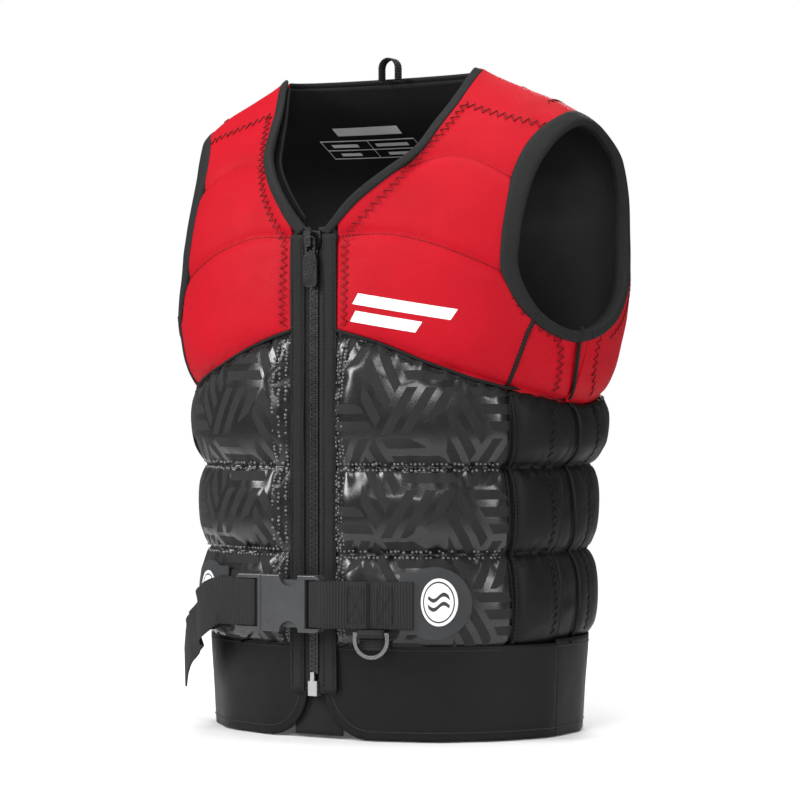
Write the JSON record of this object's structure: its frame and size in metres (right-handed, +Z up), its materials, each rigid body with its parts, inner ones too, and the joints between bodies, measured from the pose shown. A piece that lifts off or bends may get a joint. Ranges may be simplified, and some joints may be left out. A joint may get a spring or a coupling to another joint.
{
  "type": "life jacket",
  "caption": "Sleeveless neoprene buoyancy vest with foam pads between cover and lining, a front zip and a belt with a side-release buckle.",
  "frame": {"origin": "on the floor under the middle of the bounding box, the vest standing on its hem", "axes": "+Z up, -Y the way the wearer faces, +X the wearer's left"},
  "size_m": [0.4042, 0.2906, 0.563],
  "materials": {
    "red_neoprene": "matte knit-faced neoprene",
    "printed_neoprene": "embossed glossy neoprene",
    "black_neoprene": "matte neoprene",
    "buoyancy_foam": "closed-cell foam",
    "black_lining": "matte knit",
    "edge_binding": "matte folded tape",
    "zip_tape": "woven tape",
    "zip_teeth": "moulded plastic",
    "black_metal": "satin black",
    "silver_metal": "satin",
    "webbing": "woven webbing",
    "rubber_patch": "matte moulded rubber",
    "white_badge": "satin",
    "buckle_plastic": "satin moulded plastic",
    "steel_ring": "satin"
  },
  "bodies": {
    "back": {"back_cover_upper": "red_neoprene", "back_cover_lower": "black_neoprene", "back_lining": "black_lining", "back_hem_band": "black_neoprene", "back_foam_low": "buoyancy_foam", "back_foam_middle": "buoyancy_foam", "back_foam_upper": "buoyancy_foam", "armhole_binding_back_left": "edge_binding", "armhole_binding_back_right": "edge_binding", "neck_binding_back": "edge_binding", "hang_loop": "webbing"},
    "front_left": {"chest_cover_left": "red_neoprene", "belly_cover_left": "printed_neoprene", "underarm_panel_left": "red_neoprene", "side_panel_left": "black_neoprene", "front_lining_left": "black_lining", "chest_foam_left": "buoyancy_foam", "belly_foam_low_left": "buoyancy_foam", "belly_foam_middle_left": "buoyancy_foam", "belly_foam_high_left": "buoyancy_foam", "hem_band_left": "black_neoprene", "armhole_binding_front_left": "edge_binding", "neck_binding_front_left": "edge_binding", "zip_tape_left": "zip_tape", "zip_facing_left": "edge_binding", "zip_teeth_left": "zip_teeth", "belt_patch_left": "rubber_patch", "badge_left": "white_badge", "zip_guard": "zip_tape", "zip_box": "silver_metal", "strap_left": "webbing", "buckle_socket": "buckle_plastic", "ring_loop": "webbing"},
    "front_right": {"chest_cover_right": "red_neoprene", "belly_cover_right": "printed_neoprene", "underarm_panel_right": "red_neoprene", "side_panel_right": "black_neoprene", "front_lining_right": "black_lining", "chest_foam_right": "buoyancy_foam", "belly_foam_low_right": "buoyancy_foam", "belly_foam_middle_right": "buoyancy_foam", "belly_foam_high_right": "buoyancy_foam", "hem_band_right": "black_neoprene", "armhole_binding_front_right": "edge_binding", "neck_binding_front_right": "edge_binding", "zip_tape_right": "zip_tape", "zip_facing_right": "edge_binding", "zip_teeth_right": "zip_teeth", "belt_patch_right": "rubber_patch", "badge_right": "white_badge", "zip_pin": "silver_metal"},
    "zip_slider": {"slider_front": "black_metal", "slider_back": "black_metal"},
    "zip_pull": {"zip_pull": "black_metal"},
    "buckle_plug": {"buckle_plug": "buckle_plastic", "strap_right": "webbing"},
    "prong_upper": {"prong_upper": "buckle_plastic"},
    "prong_lower": {"prong_lower": "buckle_plastic"},
    "d_ring": {"d_ring": "steel_ring"}
  },
  "joints": [
    {"name": "front_left_open", "type": "slide", "parent": "back", "child": "front_left", "axis": [1, 0, 0], "range_m": [0, 0.04], "stiffness_N_per_m": 150},
    {"name": "front_right_open", "type": "slide", "parent": "back", "child": "front_right", "axis": [-1, 0, 0], "range_m": [0, 0.04], "stiffness_N_per_m": 150},
    {"name": "slider_travel", "type": "slide", "parent": "front_left", "child": "zip_slider", "axis": [0, 0, -1], "range_m": [0, 0.345]},
    {"name": "pull_swing", "type": "hinge", "parent": "zip_slider", "child": "zip_pull", "pos_m": [0, -0.1236, 0.404], "axis": [-1, 0, 0], "range_deg": [0, 120]},
    {"name": "plug_release", "type": "slide", "parent": "front_right", "child": "buckle_plug", "axis": [-1, 0, 0], "range_m": [0, 0.035]},
    {"name": "prong_upper_squeeze", "type": "hinge", "parent": "buckle_plug", "child": "prong_upper", "pos_m": [-0.0233, -0.1385, 0.122], "axis": [0, 1, 0], "range_deg": [0, 8], "stiffness_Nm_per_rad": 0.3},
    {"name": "prong_lower_squeeze", "type": "hinge", "parent": "buckle_plug", "child": "prong_lower", "pos_m": [-0.0233, -0.1385, 0.098], "axis": [0, -1, 0], "range_deg": [0, 8], "stiffness_Nm_per_rad": 0.3},
    {"name": "ring_swing", "type": "hinge", "parent": "front_left", "child": "d_ring", "pos_m": [0.06107, -0.12881, 0.087], "axis": [-0.9701, -0.2429, 0], "range_deg": [0, 90]}
  ]
}
